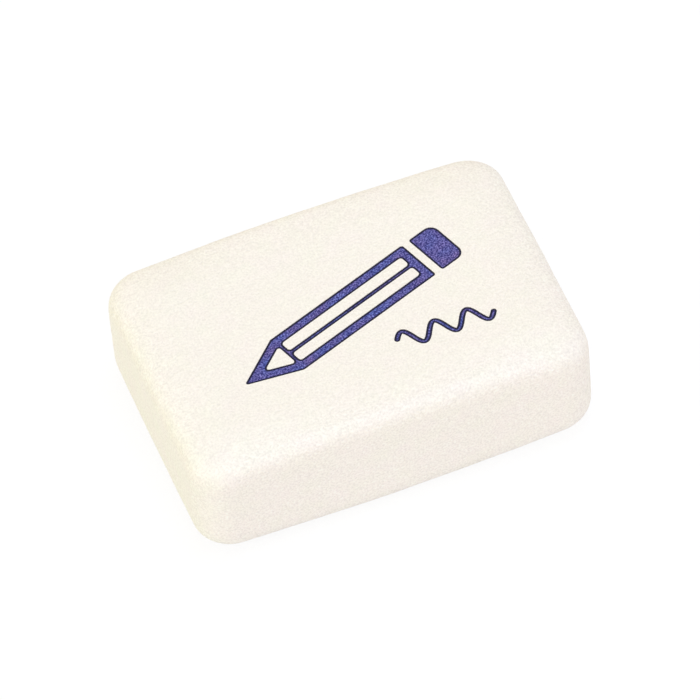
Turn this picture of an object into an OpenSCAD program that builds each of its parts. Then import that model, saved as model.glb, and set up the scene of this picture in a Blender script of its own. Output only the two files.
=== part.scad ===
// Block of white rubber for rubbing out pencil, with a small blue print on its top face.
// The block is one moulded and tumbled piece: flat in the middle of each face, falling away
// gently to the rim, rolled over at the edges and straight down the walls.
// The origin is the middle of the underside, X runs along the block and Z points up.

/* [Block] */
// Length of the block
block_length = 41; // [36:0.5:60]
// Width of the block
block_width = 28; // [26:0.5:35]
// Thickness of the block between its two flat faces
block_thickness = 13; // [10:0.5:20]
// Radius of the upright corners, seen from above
corner_radius = 3.5; // [2.5:0.1:7]

/* [Rolled edges] */
// How far the rolled edge reaches in from the wall
roll_width = 2; // [1:0.1:3]
// How far the rolled edge reaches down the wall
roll_depth = 2.8; // [1.5:0.1:3.2]
// Fullness of the rolled edge, where 2 is a quarter ellipse and more is squarer
roll_fullness = 3.2; // [2:0.1:5]
// Corner radius of the face where the rolled edge begins
brow_radius = 3; // [2:0.1:6]

/* [Tumbled faces] */
// Width of the rim between the flat middle of a face and the wall
rim_width = 5.5; // [4:0.1:7]
// Corner radius of the flat middle of a face
land_radius = 2; // [1:0.1:4]
// How far the rim has sunk at the middle of a long side
side_sink = 0.2; // [0:0.05:0.4]
// How much further the rim has sunk at the corners
corner_sink = 0.95; // [0:0.05:1.2]

/* [Print] */
// Depth of the stamped hollow that holds the ink
stamp_depth = 0.15; // [0.1:0.01:0.3]
// How far the ink lies below the face
ink_sink = 0.05; // [0.02:0.01:0.06]

/* [Printed pencil] */
// Length of the pencil from its point to its end
pencil_length = 26; // [20:0.5:27]
// Width of the pencil across its barrel
pencil_width = 5; // [4:0.1:6]
// Angle of the pencil to the long side of the block
pencil_angle = 19.8; // [10:0.1:30]
// Place of the pencil's middle across the block
pencil_y = -0.4; // [-1:0.1:1]
// Width of the bold outline
outline_stroke = 1.1; // [0.8:0.05:1.3]
// Width of the thin line along the barrel
facet_stroke = 0.5; // [0.3:0.05:0.7]
// Length of the sharpened cone
cone_length = 5.4; // [4:0.1:7]
// Length of the solid cap at the other end
cap_length = 3; // [2:0.1:4]
// Radius of the cap's corners
cap_radius = 1; // [0.4:0.1:1.6]
// Width of the bare band between the cap and the barrel
band_width = 0.8; // [0.5:0.1:1.2]

/* [Printed wave] */
// Length of the wavy line
wave_length = 10; // [6:0.5:11]
// Height of the wavy line from crest to trough, along its middle
wave_height = 2; // [1:0.1:3]
// Number of waves
wave_count = 3; // [2:1:4]
// Width of the wavy line
wave_stroke = 0.6; // [0.4:0.05:0.8]
// Place of the wavy line's middle along the block
wave_x = 8; // [6:0.5:8]
// Place of the wavy line's middle across the block
wave_y = -5.8; // [-6:0.1:-5]

/* [Smoothness] */
// Steps round each upright corner
corner_steps = 8; // [6:1:10]
// Steps along each long side
long_steps = 8; // [4:1:12]
// Steps along each short side
short_steps = 6; // [4:1:10]
// Steps across the sloping rim
rim_steps = 4; // [2:1:6]
// Steps over the rolled edge
roll_steps = 9; // [6:1:12]
// Steps in each printed wave
wave_steps = 16; // [10:1:20]
// Steps round each corner of the printed cap
cap_steps = 6; // [3:1:8]

/* [Hidden] */
rubber_colour = [0.98, 0.965, 0.92];
ink_colour = [0.25, 0.25, 0.6];
half_length = block_length / 2;
half_width = block_width / 2;
face_z = block_thickness;
ink_thickness = stamp_depth - ink_sink;
// How far a cutting shape runs past what it cuts
past = 1;
// The share of the rim that lies inside the rolled edge
brow_reach = 1 - roll_width / rim_width;

// Outline of a rectangle with round corners, anticlockwise from the middle of the corner at
// +X +Y. Every call returns as many points, so one outline can be lofted to another.
function rounded_rectangle(half_l, half_w, radius) =
    let (
        centres = [
            [half_l - radius, half_w - radius],
            [radius - half_l, half_w - radius],
            [radius - half_l, radius - half_w],
            [half_l - radius, radius - half_w],
        ],
        side_steps = [long_steps, short_steps, long_steps, short_steps],
        points = [
            for (corner = [0:3])
                let (
                    turn = 90 * corner,
                    middle = centres[corner],
                    start = middle + radius * [cos(turn + 90), sin(turn + 90)],
                    end = centres[(corner + 1) % 4] + radius * [cos(turn + 90), sin(turn + 90)]
                )
                each concat(
                    [
                        for (step = [0:corner_steps])
                            let (angle = turn + 90 * step / corner_steps)
                            middle + radius * [cos(angle), sin(angle)]
                    ],
                    [
                        for (step = [1:side_steps[corner] - 1])
                            start + (end - start) * step / side_steps[corner]
                    ]
                )
        ],
        first = floor(corner_steps / 2)
    )
    [for (i = [0:len(points) - 1]) points[(i + first) % len(points)]];

wall_outline = rounded_rectangle(half_length, half_width, corner_radius);
brow_outline = rounded_rectangle(half_length - roll_width, half_width - roll_width, brow_radius);
land_outline = rounded_rectangle(half_length - rim_width, half_width - rim_width, land_radius);
outline_count = len(wall_outline);

// How far the rim has sunk below the flat face where it meets the wall: least at the middle
// of the long sides, more at the short sides and most at the corners.
rim_sink = [
    for (point = wall_outline)
        side_sink + corner_sink * (point * point - half_width * half_width) / (half_length * half_length)
];

// How far the rolled edge has dropped, from 0 where it begins to the full depth at the wall
function roll_drop(share) = roll_depth * (1 - pow(max(0, 1 - pow(share, roll_fullness)), 1 / roll_fullness));

// One ring of the top face. The reach is 0 at the flat middle and 1 at the wall.
function face_ring(reach) =
    let (
        on_roll = reach > brow_reach,
        share = on_roll ? (reach - brow_reach) / (1 - brow_reach) : reach / brow_reach,
        inner = on_roll ? brow_outline : land_outline,
        outer = on_roll ? wall_outline : brow_outline,
        drop = on_roll ? roll_drop(share) : 0
    )
    [
        for (i = [0:outline_count - 1])
            let (place = inner[i] + (outer[i] - inner[i]) * share)
            [place.x, place.y, face_z - drop - rim_sink[i] * reach * reach]
    ];

// The steps crowd together towards the wall, where the rolled edge turns fastest
reaches = concat(
    [for (step = [0:rim_steps]) brow_reach * step / rim_steps],
    [
        for (step = [1:roll_steps])
            brow_reach + (1 - brow_reach) * pow(sin(90 * step / roll_steps), 2 / roll_fullness)
    ]
);
top_rings = [for (reach = reaches) face_ring(reach)];
bottom_rings = [for (ring = top_rings) [for (point = ring) [point.x, point.y, face_z - point.z]]];
ring_last = len(reaches) - 1;
// From the flat underside out to the wall, up it, and in again over the top face
block_rings = concat(bottom_rings, [for (i = [0:ring_last]) top_rings[ring_last - i]]);

// Solid between rings of equal length, with flat first and last rings as its ends
module lofted(rings) {
    count = len(rings[0]);
    last = len(rings) - 1;
    bands = [
        for (ring = [0:last - 1], i = [0:count - 1])
            let (
                a = ring * count + i,
                b = ring * count + (i + 1) % count,
                c = b + count,
                d = a + count
            )
            each [[a, c, b], [a, d, c]]
    ];
    bottom_end = [for (i = [0:count - 1]) i];
    top_end = [for (i = [0:count - 1]) (last + 1) * count - 1 - i];
    polyhedron(points = [for (ring = rings) each ring], faces = concat([bottom_end, top_end], bands));
}

// The whole pencil with its point at -X, before the bare windows are taken out
module pencil_silhouette() {
    half_l = pencil_length / 2;
    half_w = pencil_width / 2;
    cap_turn = [for (step = [0:cap_steps]) 90 * step / cap_steps];
    polygon(concat(
        [[-half_l, 0], [cone_length - half_l, -half_w]],
        [
            for (angle = cap_turn)
                [half_l - cap_radius + cap_radius * sin(angle), cap_radius - half_w - cap_radius * cos(angle)]
        ],
        [
            for (angle = cap_turn)
                [half_l - cap_radius + cap_radius * cos(angle), half_w - cap_radius + cap_radius * sin(angle)]
        ],
        [[cone_length - half_l, half_w]]
    ));
}

// Bare wood of the sharpened cone: a triangle that leaves the outline its full width, so that
// the two slanting strokes meet in a solid lead at the point.
module wood_window() {
    tip_x = -pencil_length / 2;
    slope = pencil_width / 2 / cone_length;
    // The stroke's width, measured straight across the pencil
    stroke_across = outline_stroke * norm([1, slope]);
    base_half = pencil_width / 2 - stroke_across;
    polygon([
        [tip_x + stroke_across / slope, 0],
        [tip_x + cone_length, -base_half],
        [tip_x + cone_length, base_half],
    ]);
}

// The two bare strips of the barrel, one on each side of the thin line
module barrel_windows() {
    start_x = cone_length - pencil_length / 2 + facet_stroke;
    end_x = pencil_length / 2 - cap_length - band_width - outline_stroke;
    strip_width = pencil_width / 2 - outline_stroke - facet_stroke / 2;
    for (side = [-1, 1])
        translate([(start_x + end_x) / 2, side * (facet_stroke + strip_width) / 2])
            square([end_x - start_x, strip_width], center = true);
}

// The bare band that parts the cap from the barrel
module cap_band() {
    translate([pencil_length / 2 - cap_length - band_width, -pencil_width / 2 - past])
        square([band_width, pencil_width + 2 * past]);
}

module pencil_shape() {
    difference() {
        pencil_silhouette();
        wood_window();
        barrel_windows();
        cap_band();
    }
}

// A line of even width that follows a sine, written as its upper edge and back along its lower
module wave_shape() {
    steps = wave_count * wave_steps;
    middle_line = [
        for (step = [0:steps])
            let (
                angle = 360 * step / wave_steps,
                slope = PI * wave_height * wave_count / wave_length * cos(angle)
            )
            [wave_length * (step / steps - 0.5), wave_height / 2 * sin(angle), slope]
    ];
    upper = [
        for (p = middle_line)
            [p.x, p.y] + wave_stroke / 2 * [-p.z, 1] / norm([p.z, 1])
    ];
    lower = [
        for (i = [0:steps])
            let (p = middle_line[steps - i])
            [p.x, p.y] - wave_stroke / 2 * [-p.z, 1] / norm([p.z, 1])
    ];
    polygon(concat(upper, lower));
}

// Everything printed on the face, in place and seen from above
module print_shape() {
    translate([0, pencil_y])
        rotate(pencil_angle)
            pencil_shape();
    translate([wave_x, wave_y])
        wave_shape();
}

module eraser_block() {
    color(rubber_colour)
        difference() {
            lofted(block_rings);
            translate([0, 0, face_z - stamp_depth])
                linear_extrude(stamp_depth + past)
                    print_shape();
        }
}

module ink_print() {
    color(ink_colour)
        translate([0, 0, face_z - stamp_depth])
            linear_extrude(ink_thickness)
                print_shape();
}

eraser_block();
ink_print();
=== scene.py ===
import math

import bmesh
import bpy
from mathutils import Matrix, Vector


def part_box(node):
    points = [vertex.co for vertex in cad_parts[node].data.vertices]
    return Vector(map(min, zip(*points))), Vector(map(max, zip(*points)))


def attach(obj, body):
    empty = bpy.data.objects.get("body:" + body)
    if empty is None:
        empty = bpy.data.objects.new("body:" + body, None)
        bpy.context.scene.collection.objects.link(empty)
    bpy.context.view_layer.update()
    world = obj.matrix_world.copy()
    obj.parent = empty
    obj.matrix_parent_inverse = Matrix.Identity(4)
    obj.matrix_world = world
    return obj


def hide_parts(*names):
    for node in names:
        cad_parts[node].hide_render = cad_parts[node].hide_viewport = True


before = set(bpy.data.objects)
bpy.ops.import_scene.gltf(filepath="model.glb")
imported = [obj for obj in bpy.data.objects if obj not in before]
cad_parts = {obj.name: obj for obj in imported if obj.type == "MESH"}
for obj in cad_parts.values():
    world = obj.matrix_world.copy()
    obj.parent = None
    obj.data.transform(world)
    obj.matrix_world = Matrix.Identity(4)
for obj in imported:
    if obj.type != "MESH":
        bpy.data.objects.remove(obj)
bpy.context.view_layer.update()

block_low, block_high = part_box("eraser_block")
ink_low, ink_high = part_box("ink_print")

bl_info = {
    "name": "Rubber eraser",
    "version": (1, 0, 0),
    "blender": (4, 5, 0),
    "location": "View3D > Sidebar > Eraser",
    "description": "Models a tumbled rubber eraser with a small blue print, and a plain studio round it",
    "category": "Add Mesh",
}

MM = 0.001
SAME_PLACE = 0.001 * MM
SHARP_TURN = math.radians(45)
SLIGHT_TURN = math.radians(10)


class BlockSizes(bpy.types.PropertyGroup):
    """Sizes of the rubber block."""

    corner_radius: bpy.props.FloatProperty(
        name="Corner radius", description="Radius of the upright corners, seen from above",
        default=3.5 * MM, subtype="DISTANCE", unit="LENGTH")
    roll_width: bpy.props.FloatProperty(
        name="Roll width", description="How far the rolled edge reaches in from the wall",
        default=2.0 * MM, subtype="DISTANCE", unit="LENGTH")
    roll_depth: bpy.props.FloatProperty(
        name="Roll depth", description="How far the rolled edge reaches down the wall",
        default=2.8 * MM, subtype="DISTANCE", unit="LENGTH")
    roll_fullness: bpy.props.FloatProperty(
        name="Roll fullness", description="2 is a quarter ellipse and more is squarer", default=3.2)
    brow_radius: bpy.props.FloatProperty(
        name="Brow radius", description="Corner radius of the face where the rolled edge begins",
        default=3.0 * MM, subtype="DISTANCE", unit="LENGTH")
    rim_width: bpy.props.FloatProperty(
        name="Rim width", description="Width of the rim between the flat middle of a face and the wall",
        default=5.5 * MM, subtype="DISTANCE", unit="LENGTH")
    land_radius: bpy.props.FloatProperty(
        name="Land radius", description="Corner radius of the flat middle of a face",
        default=2.0 * MM, subtype="DISTANCE", unit="LENGTH")
    side_sink: bpy.props.FloatProperty(
        name="Side sink", description="How far the rim has sunk at the middle of a long side",
        default=0.2 * MM, subtype="DISTANCE", unit="LENGTH")
    corner_sink: bpy.props.FloatProperty(
        name="Corner sink", description="How much further the rim has sunk at the corners",
        default=0.95 * MM, subtype="DISTANCE", unit="LENGTH")
    wear_depth: bpy.props.FloatProperty(
        name="Tumbling wear",
        description="Depth of the soft unevenness that tumbling leaves on the rim and the walls",
        default=0.12 * MM, subtype="DISTANCE", unit="LENGTH")
    wear_size: bpy.props.FloatProperty(
        name="Wear size", description="Width of the soft unevenness",
        default=7.0 * MM, subtype="DISTANCE", unit="LENGTH")
    hollow_edge: bpy.props.FloatProperty(
        name="Hollow edge", description="Roundness of the edges of the stamped hollow",
        default=0.05 * MM, subtype="DISTANCE", unit="LENGTH")


class PrintSizes(bpy.types.PropertyGroup):
    """Sizes of the blue print."""

    corner_width: bpy.props.FloatProperty(
        name="Stroke corners", description="Width of the rounding at the corners of the printed strokes",
        default=0.42 * MM, subtype="DISTANCE", unit="LENGTH")
    bend_width: bpy.props.FloatProperty(
        name="Stroke bends", description="Width of the rounding at the slight bends of curved strokes",
        default=0.25 * MM, subtype="DISTANCE", unit="LENGTH")
    # The dark edge is partly ink gathered along each stroke and partly painted shade of the stamped
    # hollow's walls.
    edge_width: bpy.props.FloatProperty(
        name="Dark edge", description="Width of the line where the ink has gathered along each stroke",
        default=0.22 * MM, subtype="DISTANCE", unit="LENGTH")
    edge_drop: bpy.props.FloatProperty(
        name="Edge drop", description="How much thinner the ink is at its edge",
        default=0.015 * MM, subtype="DISTANCE", unit="LENGTH")


class EraserColours(bpy.types.PropertyGroup):
    """Colours of the rubber, the ink and the floor."""

    rubber: bpy.props.FloatVectorProperty(
        name="Rubber", description="Cream white of the rubber", subtype="COLOR", size=3,
        default=(0.955, 0.912, 0.825))
    ink: bpy.props.FloatVectorProperty(
        name="Ink", description="Deep violet blue of the print where the ink is thick",
        subtype="COLOR", size=3, default=(0.011, 0.010, 0.126))
    ink_light: bpy.props.FloatVectorProperty(
        name="Thin ink", description="Lighter blue where the ink is thin", subtype="COLOR", size=3,
        default=(0.267, 0.260, 0.646))
    # This dark colour is partly gathered ink and partly painted shade of the hollow's walls.
    ink_edge_and_painted_shade: bpy.props.FloatVectorProperty(
        name="Ink edge", description="Dark line where the ink has gathered", subtype="COLOR", size=3,
        default=(0.007, 0.005, 0.032))
    floor: bpy.props.FloatVectorProperty(
        name="Floor", description="Pale grey of the studio floor", subtype="COLOR", size=3,
        default=(0.76, 0.76, 0.76))


class StudioSettings(bpy.types.PropertyGroup):
    """Camera and light."""

    azimuth: bpy.props.FloatProperty(
        name="Azimuth", description="Turn of the camera round the eraser, from straight in front",
        default=math.radians(-17.07), subtype="ANGLE", unit="ROTATION")
    elevation: bpy.props.FloatProperty(
        name="Elevation", description="Height of the camera as an angle over the floor",
        default=math.radians(51.51), subtype="ANGLE", unit="ROTATION")
    roll: bpy.props.FloatProperty(
        name="Roll", description="Tilt of the picture",
        default=math.radians(-5.50), subtype="ANGLE", unit="ROTATION")
    distance: bpy.props.FloatProperty(
        name="Distance", description="Distance from the camera to the middle of the eraser",
        default=770.7 * MM, subtype="DISTANCE", unit="LENGTH")
    lens: bpy.props.FloatProperty(
        name="Lens", description="Focal length in millimetres", default=411.4)
    slide_right: bpy.props.FloatProperty(
        name="Slide right", description="Sideways place of the camera",
        default=0.039 * MM, subtype="DISTANCE", unit="LENGTH")
    slide_up: bpy.props.FloatProperty(
        name="Slide up", description="Upward place of the camera",
        default=0.045 * MM, subtype="DISTANCE", unit="LENGTH")
    surround_front: bpy.props.FloatVectorProperty(
        name="Surround in front", description="Light of the white studio in front of the eraser",
        subtype="COLOR", size=3, default=(0.885, 0.892, 0.915))
    surround_back: bpy.props.FloatVectorProperty(
        name="Surround behind", description="Light of the darker studio behind the eraser",
        subtype="COLOR", size=3, default=(0.775, 0.60, 0.34))
    overhead: bpy.props.FloatProperty(
        name="Overhead light", description="Strength of the light straight above", default=0.86)
    front_fill: bpy.props.FloatProperty(
        name="Front fill", description="Strength of the low light from the front", default=0.465)
    left_fill: bpy.props.FloatProperty(
        name="Left fill", description="Strength of the low warm light from the left", default=0.61)
    right_fill: bpy.props.FloatProperty(
        name="Right fill", description="Strength of the weak cool light from the right", default=0.125)
    shadow_share: bpy.props.FloatProperty(
        name="Shadow share", description="How much of the eraser's shadow the camera sees on the floor",
        default=0.13)


# Small helpers for working on one piece at a time


def only(piece):
    """Leaves one piece selected and active."""
    bpy.ops.object.select_all(action="DESELECT")
    piece.select_set(True)
    bpy.context.view_layer.objects.active = piece


def start_edit(piece):
    """Opens a piece in edit mode with nothing selected, and returns its editable mesh."""
    only(piece)
    bpy.ops.object.mode_set(mode="EDIT")
    bpy.ops.mesh.select_mode(type="VERT")
    bpy.ops.mesh.select_all(action="DESELECT")
    return bmesh.from_edit_mesh(piece.data)


def end_edit():
    bpy.ops.object.mode_set(mode="OBJECT")


def apply_modifier(piece, modifier):
    only(piece)
    bpy.ops.object.modifier_apply(modifier=modifier.name)


def outline_angle(point):
    return math.atan2(point[1], point[0])


def place_loop(piece, points):
    """Moves the selected loop onto the points, both taken in order of their angle round the middle."""
    shape = bmesh.from_edit_mesh(piece.data)
    loop = sorted((v for v in shape.verts if v.select), key=lambda v: outline_angle(v.co))
    for vertex, point in zip(loop, sorted(points, key=outline_angle), strict=True):
        vertex.co = point
    bmesh.update_edit_mesh(piece.data)


# The rubber block

CORNER_STEPS = 16
LONG_STEPS = 45
SHORT_STEPS = 31
RIM_STEPS = 10
ROLL_STEPS = 16
WALL_STEPS = 8


def rounded_rectangle(half_length, half_width, radius):
    """Points round a rectangle with round corners, as many for every size."""
    points = []
    middles = (
        (half_length - radius, half_width - radius), (radius - half_length, half_width - radius),
        (radius - half_length, radius - half_width), (half_length - radius, radius - half_width),
    )
    for corner, (x, y) in enumerate(middles):
        turn = math.pi / 2 * corner
        for step in range(CORNER_STEPS + 1):
            angle = turn + math.pi / 2 * step / CORNER_STEPS
            points.append(Vector((x + radius * math.cos(angle), y + radius * math.sin(angle))))
        start = points[-1]
        next_x, next_y = middles[(corner + 1) % 4]
        end = start + Vector((next_x - x, next_y - y))
        side_steps = SHORT_STEPS if corner % 2 else LONG_STEPS
        points += [start.lerp(end, step / side_steps) for step in range(1, side_steps)]
    return points


def block_rings(sizes):
    """Rings of the block from the flat middle of the underside, round the wall, to that of the top."""
    half_length, half_width, thickness = block_high.x, block_high.y, block_high.z
    wall = rounded_rectangle(half_length, half_width, sizes.corner_radius)
    brow = rounded_rectangle(
        half_length - sizes.roll_width, half_width - sizes.roll_width, sizes.brow_radius)
    land = rounded_rectangle(
        half_length - sizes.rim_width, half_width - sizes.rim_width, sizes.land_radius)
    sinks = [
        sizes.side_sink + sizes.corner_sink * (p.length_squared - half_width ** 2) / half_length ** 2
        for p in wall
    ]
    brow_reach = 1 - sizes.roll_width / sizes.rim_width

    def face_ring(inner, outer, share, reach, drop):
        """One ring of the top face, the share of the way from one outline to another."""
        return [
            Vector((*a.lerp(b, share), thickness - drop - sink * reach ** 2))
            for a, b, sink in zip(inner, outer, sinks)
        ]

    top = []
    for step in range(RIM_STEPS + 1):
        share = step / RIM_STEPS
        top.append(face_ring(land, brow, share, brow_reach * share, 0))
    fullness = sizes.roll_fullness
    for step in range(1, ROLL_STEPS + 1):
        turn = math.pi / 2 * step / ROLL_STEPS
        share = math.sin(turn) ** (2 / fullness)
        drop = sizes.roll_depth * (1 - max(0, 1 - share ** fullness) ** (1 / fullness))
        top.append(face_ring(brow, wall, share, brow_reach + (1 - brow_reach) * share, drop))
    bottom = [[Vector((p.x, p.y, thickness - p.z)) for p in ring] for ring in top]
    walls = [
        [low.lerp(high, step / WALL_STEPS) for low, high in zip(bottom[-1], top[-1])]
        for step in range(1, WALL_STEPS)
    ]
    return bottom + walls + top[::-1]


def loft_block(sizes):
    """Extrudes the outline of the flat underside ring by ring into the closed block."""
    rings = block_rings(sizes)
    bpy.ops.object.select_all(action="DESELECT")
    bpy.ops.mesh.primitive_circle_add(
        vertices=len(rings[0]), radius=block_high.y, fill_type="NGON")
    block = bpy.context.active_object
    block.name = "rubber_block"
    start_edit(block)
    bpy.ops.mesh.select_all(action="SELECT")
    place_loop(block, rings[0])
    for ring in rings[1:]:
        bpy.ops.mesh.extrude_edges_move()
        place_loop(block, ring)
    bpy.ops.mesh.edge_face_add()
    bpy.ops.mesh.select_all(action="SELECT")
    bpy.ops.mesh.normals_make_consistent(inside=False)
    end_edit()
    return block


def wear_block(block, sizes):
    """Presses the rim and the walls in, softly and unevenly, and leaves both flat faces alone."""
    land = Vector((block_high.x - sizes.rim_width, block_high.y - sizes.rim_width))
    worn = block.vertex_groups.new(name="worn")
    wear = []
    for vertex in block.data.vertices:
        outside = max(abs(vertex.co.x) - land.x, abs(vertex.co.y) - land.y, 0) / sizes.rim_width
        weight = min(1, outside)
        wear.append(weight * weight * (3 - 2 * weight))
        worn.add([vertex.index], wear[-1], "REPLACE")
    block.data.attributes.new("wear", "FLOAT", "POINT").data.foreach_set("value", wear)
    clouds = bpy.data.textures.new("tumbling wear", "CLOUDS")
    clouds.noise_scale = sizes.wear_size
    clouds.noise_depth = 2
    press = block.modifiers.new("tumbling wear", "DISPLACE")
    press.texture = clouds
    press.texture_coords = "LOCAL"
    press.vertex_group = worn.name
    press.direction = "NORMAL"
    press.mid_level = 1
    press.strength = sizes.wear_depth
    apply_modifier(block, press)


def ink_walls(name, sizes):
    """The upright walls of the printed solids, open above and below, with their corners rounded."""
    copy = bpy.data.objects.new(name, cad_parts["ink_print"].data.copy())
    bpy.context.scene.collection.objects.link(copy)
    copy.data.materials.clear()
    start_edit(copy)
    bpy.ops.mesh.select_all(action="SELECT")
    bpy.ops.mesh.remove_doubles(threshold=SAME_PLACE)
    bpy.ops.mesh.dissolve_limited(angle_limit=math.radians(0.5))
    bpy.ops.mesh.select_all(action="DESELECT")
    bpy.ops.mesh.select_mode(type="FACE")
    shape = bmesh.from_edit_mesh(copy.data)
    for face in shape.faces:
        if abs(face.normal.z) > 0.9:
            face.select_set(True)
    bmesh.update_edit_mesh(copy.data)
    bpy.ops.mesh.delete(type="FACE")
    round_bends(copy, sizes.corner_width, SHARP_TURN, segments=6)
    round_bends(copy, sizes.bend_width, SLIGHT_TURN, segments=4)
    end_edit()
    return copy


def round_bends(walls, width, least_turn, segments):
    """Rounds the upright edges that turn more than the given angle and have room on both sides."""
    bpy.ops.mesh.select_mode(type="EDGE")
    bpy.ops.mesh.select_all(action="DESELECT")
    shape = bmesh.from_edit_mesh(walls.data)
    depth = ink_high.z - ink_low.z
    for edge in shape.edges:
        roomy = all(face.calc_area() > width * depth for face in edge.link_faces)
        if edge.is_manifold and roomy and edge.calc_face_angle() > least_turn:
            edge.select_set(True)
    bmesh.update_edit_mesh(walls.data)
    bpy.ops.mesh.bevel(
        offset_type="WIDTH", offset=width, segments=segments, profile=0.5, affect="EDGES")


def select_rim(piece, top):
    """Selects the open edges along the top or the bottom of a piece in edit mode."""
    bpy.ops.mesh.select_all(action="DESELECT")
    bpy.ops.mesh.select_mode(type="EDGE")
    shape = bmesh.from_edit_mesh(piece.data)
    middle = (ink_low.z + ink_high.z) / 2
    for edge in shape.edges:
        if edge.is_boundary and (edge.verts[0].co.z > middle) == top:
            edge.select_set(True)
    bmesh.update_edit_mesh(piece.data)
    return shape


def close_print(piece):
    """Fills the selected top rim and the bottom rim with faces, and turns those faces outwards."""
    bpy.ops.mesh.fill(use_beauty=True)
    select_rim(piece, top=False)
    bpy.ops.mesh.fill(use_beauty=True)
    shape = bmesh.from_edit_mesh(piece.data)
    middle = (ink_low.z + ink_high.z) / 2
    for face in shape.faces:
        above = face.calc_center_median().z > middle
        if abs(face.normal.z) > 0.5 and (face.normal.z > 0) != above:
            face.normal_flip()
    bmesh.update_edit_mesh(piece.data)
    end_edit()


def stamp_hollow(block, block_sizes, print_sizes):
    """Cuts the stamped hollow to the outline of the ink, and softens its edges."""
    cutter = ink_walls("stamp", print_sizes)
    start_edit(cutter)
    select_rim(cutter, top=True)
    bpy.ops.transform.translate(value=(0, 0, 1 * MM))
    close_print(cutter)
    cut = block.modifiers.new("stamp", "BOOLEAN")
    cut.operation = "DIFFERENCE"
    cut.solver = "EXACT"
    cut.object = cutter
    apply_modifier(block, cut)
    bpy.data.objects.remove(cutter)
    shape = start_edit(block)
    bpy.ops.mesh.select_mode(type="EDGE")
    top = block_high.z
    for edge in shape.edges:
        on_face = all(abs(v.co.z - top) < SAME_PLACE for v in edge.verts)
        if on_face and edge.calc_face_angle(0) > SHARP_TURN:
            edge.select_set(True)
    bmesh.update_edit_mesh(block.data)
    bpy.ops.mesh.bevel(
        offset_type="OFFSET", offset=block_sizes.hollow_edge, segments=3, profile=0.5, affect="EDGES",
        clamp_overlap=True)
    end_edit()


def smooth(piece):
    """Smooth shading in which the large flat faces stay flat up to their edges."""
    only(piece)
    bpy.ops.object.shade_smooth_by_angle(angle=math.radians(35))
    weigh = piece.modifiers.new("flat faces", "WEIGHTED_NORMAL")
    weigh.keep_sharp = True
    apply_modifier(piece, weigh)


def thin_edges(ink, sizes):
    """Fills the face of each stroke: a flat middle, and an edge band that slopes down to the outline."""
    start_edit(ink)
    shape = select_rim(ink, top=True)
    inward = {}
    for edge in shape.edges:
        if edge.select:
            for vertex in edge.verts:
                inward.setdefault(spot(vertex.co), []).append(edge.link_faces[0].normal.copy())
    bpy.ops.mesh.extrude_edges_move()
    shape = bmesh.from_edit_mesh(ink.data)
    # This layer is 1 at the outline and 0 at the ring moved inwards. It places the dark edge colour,
    # which is gathered ink and painted shade of the hollow's walls.
    mark = shape.verts.layers.float.new("ink_edge_and_painted_shade")
    rim = {}
    for vertex in shape.verts:
        if vertex.select:
            rim[vertex] = vertex.co.copy()
            first, second = inward[spot(vertex.co)]
            vertex.co -= sizes.edge_width / (1 + first.dot(second)) * (first + second)
        else:
            vertex[mark] = 1
            if vertex.co.z > (ink_low.z + ink_high.z) / 2:
                vertex.co.z -= sizes.edge_drop
    uncross([edge for edge in shape.edges if edge.select], rim)
    bmesh.update_edit_mesh(ink.data)
    bpy.ops.mesh.remove_doubles(threshold=3 * SAME_PLACE)
    close_print(ink)


MOST_ROUNDS = 200


def uncross(edges, rim):
    """Draws together the points that have passed each other on their way in from a sharp corner."""
    for _ in range(MOST_ROUNDS):
        crossed = 0
        for edge in edges:
            a, b = edge.verts
            if (b.co - a.co).dot(rim[b] - rim[a]) < -1e-12:
                a.co = b.co = (a.co + b.co) / 2
                crossed += 1
        if not crossed:
            break


def spot(place):
    """A place rounded to a tenth of a micrometre, to look it up by."""
    return tuple(round(value * 1e7) for value in place)


# Materials, with the fineness of their patterns in lumps a metre

FINE_LUMPS = 4600
COARSE_LUMPS = 1500
MOTTLING = 450
INK_SPECKS = 6500


def new_group(name, inputs, outputs):
    """A shader node group with its input and output sockets, and its two end nodes."""
    group = bpy.data.node_groups.new(name, "ShaderNodeTree")
    for label, kind, default in inputs:
        socket = group.interface.new_socket(label, in_out="INPUT", socket_type=kind)
        socket.default_value = default
    for label, kind in outputs:
        group.interface.new_socket(label, in_out="OUTPUT", socket_type=kind)
    return group, group.nodes.new("NodeGroupInput"), group.nodes.new("NodeGroupOutput")


def noise(tree, position, scale, detail):
    """A cloudy pattern on the given position, with its scale in lumps a metre."""
    node = tree.nodes.new("ShaderNodeTexNoise")
    node.inputs["Scale"].default_value = scale
    node.inputs["Detail"].default_value = detail
    tree.links.new(position, node.inputs["Vector"])
    return node.outputs["Fac"]


def spread(tree, value, low, high, to_low=0.0, to_high=1.0):
    """Maps a value from one range onto another and keeps it inside."""
    node = tree.nodes.new("ShaderNodeMapRange")
    node.inputs["From Min"].default_value = low
    node.inputs["From Max"].default_value = high
    node.inputs["To Min"].default_value = to_low
    node.inputs["To Max"].default_value = to_high
    tree.links.new(value, node.inputs["Value"])
    return node.outputs["Result"]


def blend_colours(tree, share, first, second):
    """Mixes two colours, each a socket or plain numbers, by a share."""
    node = tree.nodes.new("ShaderNodeMix")
    node.data_type = "RGBA"
    tree.links.new(share, node.inputs["Factor"])
    for name, colour in (("A", first), ("B", second)):
        socket = next(s for s in node.inputs if s.name == name and s.type == "RGBA")
        if isinstance(colour, bpy.types.NodeSocket):
            tree.links.new(colour, socket)
        else:
            socket.default_value = (*colour, 1)
    return next(s for s in node.outputs if s.type == "RGBA")


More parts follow.
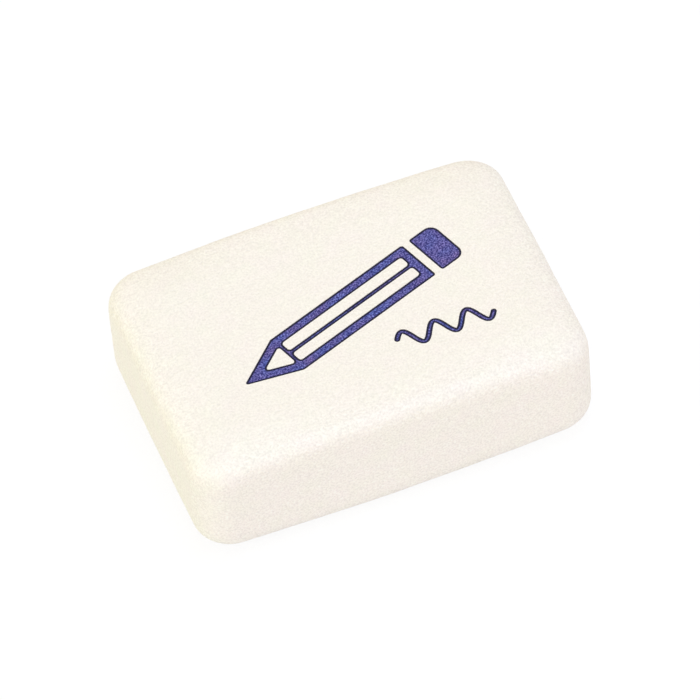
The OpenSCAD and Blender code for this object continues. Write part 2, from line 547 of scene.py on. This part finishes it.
def scale_colour(tree, colour, factor):
    """Multiplies a colour by a factor, up to white at most."""
    node = tree.nodes.new("ShaderNodeMix")
    node.data_type = "RGBA"
    node.blend_type = "MULTIPLY"
    node.clamp_result = True
    node.inputs["Factor"].default_value = 1
    for name, value in (("A", colour), ("B", factor)):
        tree.links.new(value, next(s for s in node.inputs if s.name == name and s.type == "RGBA"))
    return next(s for s in node.outputs if s.type == "RGBA")


def arithmetic(tree, operation, first, second):
    node = tree.nodes.new("ShaderNodeMath")
    node.operation = operation
    for socket, value in zip(node.inputs, (first, second)):
        if isinstance(value, bpy.types.NodeSocket):
            tree.links.new(value, socket)
        else:
            socket.default_value = value
    return node.outputs["Value"]


def grain_group():
    """Fine grain and broad mottling of moulded rubber, which the ink on it shows too."""
    group, start, end = new_group(
        "Rubber grain",
        [("Position", "NodeSocketVector", (0, 0, 0))],
        [("Grain", "NodeSocketFloat"), ("Mottle", "NodeSocketFloat"), ("Height", "NodeSocketFloat")],
    )
    position = start.outputs["Position"]
    fine = noise(group, position, FINE_LUMPS, detail=1)
    coarse = noise(group, position, COARSE_LUMPS, detail=2)
    broad = noise(group, position, MOTTLING, detail=2)
    fine_share = arithmetic(group, "MULTIPLY", fine, 0.85)
    coarse_share = arithmetic(group, "MULTIPLY", coarse, 0.15)
    grain = arithmetic(group, "ADD", fine_share, coarse_share)
    group.links.new(spread(group, grain, 0.30, 0.70), end.inputs["Grain"])
    group.links.new(spread(group, broad, 0.30, 0.70), end.inputs["Mottle"])
    group.links.new(grain, end.inputs["Height"])
    return group


def new_material(name):
    """A material with its shader, the object coordinates and the grain of the rubber on them."""
    material = bpy.data.materials.new(name)
    material.use_nodes = True
    tree = material.node_tree
    shader = tree.nodes["Principled BSDF"]
    position = tree.nodes.new("ShaderNodeTexCoord").outputs["Object"]
    grain = tree.nodes.new("ShaderNodeGroup")
    grain.node_tree = bpy.data.node_groups.get("Rubber grain") or grain_group()
    tree.links.new(position, grain.inputs["Position"])
    return material, tree, shader, position, grain


def mesh_value(tree, name):
    """A value that the mesh carries at its points."""
    node = tree.nodes.new("ShaderNodeAttribute")
    node.attribute_name = name
    return node.outputs["Fac"]


def add_bump(tree, shader, height, depth):
    bump = tree.nodes.new("ShaderNodeBump")
    bump.inputs["Strength"].default_value = 1
    bump.inputs["Distance"].default_value = depth
    tree.links.new(height, bump.inputs["Height"])
    tree.links.new(bump.outputs["Normal"], shader.inputs["Normal"])


def shade(colour, factor):
    return tuple(c * f for c, f in zip(colour, factor))


def rubber_material(colours):
    """Matt cream rubber with faint mottling and a fine grain, which is stronger where it is worn."""
    material, tree, shader, _, grain = new_material("white rubber")
    rubber = tuple(colours.rubber)
    rosy = shade(rubber, (1.006, 0.990, 0.996))
    yellowish = shade(rubber, (0.994, 1.006, 0.978))
    contrast = spread(tree, mesh_value(tree, "wear"), 0.2, 1, 0.125, 0.2)
    swing = arithmetic(tree, "SUBTRACT", grain.outputs["Grain"], 0.5)
    swing = arithmetic(tree, "MULTIPLY", swing, contrast)
    tint = blend_colours(tree, grain.outputs["Mottle"], rosy, yellowish)
    body = scale_colour(tree, tint, arithmetic(tree, "ADD", swing, 1))
    tree.links.new(body, shader.inputs["Base Color"])
    tree.links.new(spread(tree, grain.outputs["Grain"], 0, 1, 0.54, 0.46), shader.inputs["Roughness"])
    shader.inputs["Specular IOR Level"].default_value = 0.5
    add_bump(tree, shader, grain.outputs["Height"], 0.07 * MM)
    return material


def ink_material(colours):
    """Matt blue ink: lighter where it is thin on the grain, and dark along the edges of the strokes,
    which is partly ink gathered there and partly painted shade of the stamped hollow's walls.
    """
    material, tree, shader, position, grain = new_material("blue ink")
    ragged = spread(tree, grain.outputs["Grain"], 0, 1, 0.4, 1.6)
    # Share of the dark edge colour, which is gathered ink and painted shade of the hollow's walls, with
    # a ragged inner border.
    gathered_ink_and_painted_shade = spread(tree, arithmetic(tree, "MULTIPLY", mesh_value(tree, "ink_edge_and_painted_shade"), ragged), 0, 0.05)
    specks = noise(tree, position, INK_SPECKS, detail=1)
    thinness = arithmetic(tree, "POWER", spread(tree, specks, 0.28, 0.72), 1.7)
    violet, blue = (1.22, 0.93, 0.92), (0.72, 1.00, 1.12)
    thick, thin = (
        blend_colours(tree, grain.outputs["Mottle"], shade(colour, violet), shade(colour, blue))
        for colour in (colours.ink, colours.ink_light)
    )
    body = blend_colours(tree, thinness, thick, thin)
    # Paints the dark edge: gathered ink and the shade of the hollow's walls.
    body = blend_colours(tree, gathered_ink_and_painted_shade, body, tuple(colours.ink_edge_and_painted_shade))
    tree.links.new(body, shader.inputs["Base Color"])
    tree.links.new(spread(tree, grain.outputs["Grain"], 0, 1, 0.75, 0.6), shader.inputs["Roughness"])
    shader.inputs["Specular IOR Level"].default_value = 0.3
    add_bump(tree, shader, grain.outputs["Height"], 0.03 * MM)
    return material


def floor_material(colours, studio):
    """Pale floor that shows white to the camera and keeps a share of the eraser's shadow."""
    material = bpy.data.materials.new("studio floor")
    material.use_nodes = True
    tree = material.node_tree
    tree.nodes.clear()
    end = tree.nodes.new("ShaderNodeOutputMaterial")
    matt = tree.nodes.new("ShaderNodeBsdfDiffuse")
    matt.inputs["Color"].default_value = (*colours.floor, 1)
    shown = tree.nodes.new("ShaderNodeBsdfDiffuse")
    shown.inputs["Color"].default_value = (1, 1, 1, 1)
    glow = tree.nodes.new("ShaderNodeEmission")
    glow.inputs["Strength"].default_value = 1.02
    shadowed = tree.nodes.new("ShaderNodeMixShader")
    shadowed.inputs["Fac"].default_value = studio.shadow_share
    tree.links.new(glow.outputs["Emission"], shadowed.inputs[1])
    tree.links.new(shown.outputs["BSDF"], shadowed.inputs[2])
    final = tree.nodes.new("ShaderNodeMixShader")
    tree.links.new(seen_ray(tree), final.inputs["Fac"])
    tree.links.new(matt.outputs["BSDF"], final.inputs[1])
    tree.links.new(shadowed.outputs["Shader"], final.inputs[2])
    tree.links.new(final.outputs["Shader"], end.inputs["Surface"])
    return material


def seen_ray(tree):
    """1 for a ray that shows the background: to the camera, in a gloss or through glass."""
    path = tree.nodes.new("ShaderNodeLightPath")
    gloss = arithmetic(tree, "MAXIMUM", path.outputs["Is Camera Ray"], path.outputs["Is Glossy Ray"])
    return arithmetic(tree, "MAXIMUM", gloss, path.outputs["Is Transmission Ray"])


# Operators


class ERASER_OT_block(bpy.types.Operator):
    """Models the rubber block with its rolled edges, tumbling wear and stamped hollow"""

    bl_idname = "eraser.block"
    bl_label = "Rubber block"

    def execute(self, context):
        scene = context.scene
        block = loft_block(scene.eraser_block)
        wear_block(block, scene.eraser_block)
        stamp_hollow(block, scene.eraser_block, scene.eraser_print)
        smooth(block)
        block.data.materials.append(rubber_material(scene.eraser_colours))
        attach(block, "root")
        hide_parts("eraser_block")
        return {"FINISHED"}


class ERASER_OT_print(bpy.types.Operator):
    """Models the printed ink: strokes with round corners that thin out at their edges, where a dark
    colour paints gathered ink and the shade of the hollow's walls
    """

    bl_idname = "eraser.ink_print"
    bl_label = "Blue print"

    def execute(self, context):
        scene = context.scene
        sizes = scene.eraser_print
        ink = ink_walls("blue_print", sizes)
        thin_edges(ink, sizes)
        smooth(ink)
        ink.data.materials.append(ink_material(scene.eraser_colours))
        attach(ink, "root")
        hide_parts("ink_print")
        return {"FINISHED"}


class ERASER_OT_studio(bpy.types.Operator):
    """Sets up the camera, the floor, the white surround and the soft lights"""

    bl_idname = "eraser.studio"
    bl_label = "Studio"

    def execute(self, context):
        scene = context.scene
        studio = scene.eraser_studio
        scene.view_settings.view_transform = "Standard"
        bpy.ops.object.select_all(action="DESELECT")
        add_camera(studio)
        bpy.ops.mesh.primitive_plane_add(size=4, location=(0, 0, -0.02 * MM))
        floor = context.active_object
        floor.name = "studio_floor"
        floor.data.materials.append(floor_material(scene.eraser_colours, studio))
        light_surround(scene, studio)
        add_sun("overhead light", studio.overhead, (0.18, 0.12, 0.975), (0.29, 0.54, 1.0), 30)
        add_sun("front fill", studio.front_fill, (0.0, -0.94, 0.34), (0.87, 0.74, 0.92), 50)
        add_sun("left fill", studio.left_fill, (-0.94, 0.0, 0.34), (0.82, 0.99, 0.80), 50)
        add_sun("right fill", studio.right_fill, (0.94, 0.0, 0.34), (0.40, 0.65, 1.0), 50)
        return {"FINISHED"}


def add_camera(studio):
    """A long lens that looks at the middle of the block at the photograph's angle."""
    target = (block_low + block_high) / 2
    azimuth, elevation, roll = studio.azimuth, studio.elevation, studio.roll
    back = Vector((
        math.sin(azimuth) * math.cos(elevation), -math.cos(azimuth) * math.cos(elevation),
        math.sin(elevation)))
    level = Vector((math.cos(azimuth), math.sin(azimuth), 0))
    upright = back.cross(level)
    right = math.cos(roll) * level + math.sin(roll) * upright
    up = math.cos(roll) * upright - math.sin(roll) * level
    place = target + studio.distance * back + studio.slide_right * right + studio.slide_up * up
    bpy.ops.object.camera_add()
    camera = bpy.context.active_object
    camera.matrix_world = Matrix.Translation(place) @ Matrix((right, up, back)).transposed().to_4x4()
    camera.data.lens = studio.lens
    camera.data.sensor_width = 36
    camera.data.clip_start = 0.01
    camera.data.clip_end = 10
    bpy.context.scene.camera = camera


def light_surround(scene, studio):
    """A white surround, brighter in front than behind, that shows as plain white where it is seen."""
    world = bpy.data.worlds.new("white surround")
    world.use_nodes = True
    tree = world.node_tree
    place = tree.nodes.new("ShaderNodeTexCoord")
    axes = tree.nodes.new("ShaderNodeSeparateXYZ")
    tree.links.new(place.outputs["Generated"], axes.inputs["Vector"])
    behind = spread(tree, axes.outputs["Y"], -1, 1)
    light = blend_colours(tree, behind, tuple(studio.surround_front), tuple(studio.surround_back))
    shown = blend_colours(tree, seen_ray(tree), light, (1, 1, 1))
    backdrop = tree.nodes["Background"]
    backdrop.inputs["Strength"].default_value = 1
    tree.links.new(shown, backdrop.inputs["Color"])
    scene.world = world


def add_sun(name, strength, towards, colour, spread_degrees):
    """A soft lamp that shines from the given side."""
    bpy.ops.object.light_add(type="SUN")
    lamp = bpy.context.active_object
    lamp.name = name
    lamp.rotation_euler = Vector(towards).to_track_quat("Z", "Y").to_euler()
    lamp.data.energy = strength
    lamp.data.color = colour
    lamp.data.angle = math.radians(spread_degrees)


class ERASER_PT_panel(bpy.types.Panel):
    """Lists the eraser's pieces and the studio"""

    bl_label = "Rubber eraser"
    bl_space_type = "VIEW_3D"
    bl_region_type = "UI"
    bl_category = "Eraser"

    def draw(self, context):
        column = self.layout.column()
        for operator in (ERASER_OT_studio, ERASER_OT_block, ERASER_OT_print):
            column.operator(operator.bl_idname)


CLASSES = (
    BlockSizes, PrintSizes, EraserColours, StudioSettings,
    ERASER_OT_block, ERASER_OT_print, ERASER_OT_studio, ERASER_PT_panel,
)


def register():
    for cls in CLASSES:
        bpy.utils.register_class(cls)
    bpy.types.Scene.eraser_block = bpy.props.PointerProperty(type=BlockSizes)
    bpy.types.Scene.eraser_print = bpy.props.PointerProperty(type=PrintSizes)
    bpy.types.Scene.eraser_colours = bpy.props.PointerProperty(type=EraserColours)
    bpy.types.Scene.eraser_studio = bpy.props.PointerProperty(type=StudioSettings)


def unregister():
    del bpy.types.Scene.eraser_studio
    del bpy.types.Scene.eraser_colours
    del bpy.types.Scene.eraser_print
    del bpy.types.Scene.eraser_block
    for cls in reversed(CLASSES):
        bpy.utils.unregister_class(cls)


def main():
    register()
    bpy.ops.eraser.studio()
    bpy.ops.eraser.block()
    bpy.ops.eraser.ink_print()


if __name__ == "__main__":
    main()
